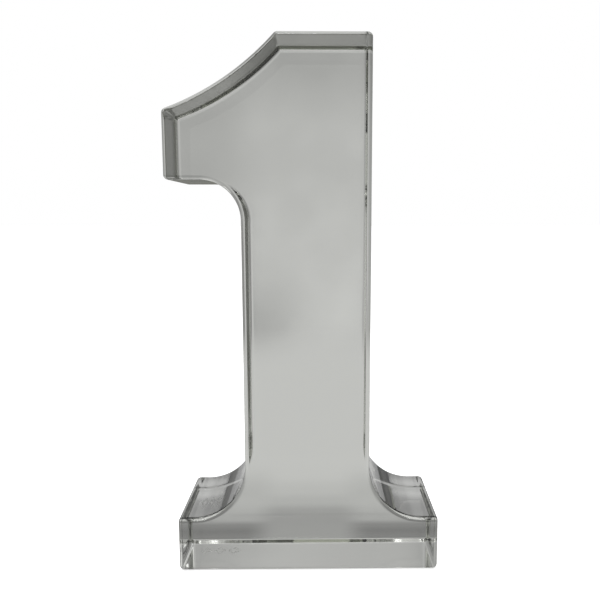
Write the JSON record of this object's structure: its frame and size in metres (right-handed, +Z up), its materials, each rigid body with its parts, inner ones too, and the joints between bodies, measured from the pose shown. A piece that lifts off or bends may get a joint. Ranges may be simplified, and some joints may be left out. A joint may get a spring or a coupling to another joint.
{
  "type": "table number",
  "caption": "Solid clear crystal numeral one with a hollowed flag and a flared serif foot, standing free as a table number.",
  "frame": {"origin": "on the surface the numeral stands on, under the middle of its bounding box", "axes": "+Z up along the stem, front face towards -Y, flag towards -X, foot's plain end towards +X"},
  "size_m": [0.0772, 0.034, 0.152],
  "materials": {
    "crystal": "clear, faintly grey-green crystal, ground flat and polished, with polished round edges"
  },
  "bodies": {
    "root": {"crystal_numeral": "crystal"}
  },
  "joints": []
}
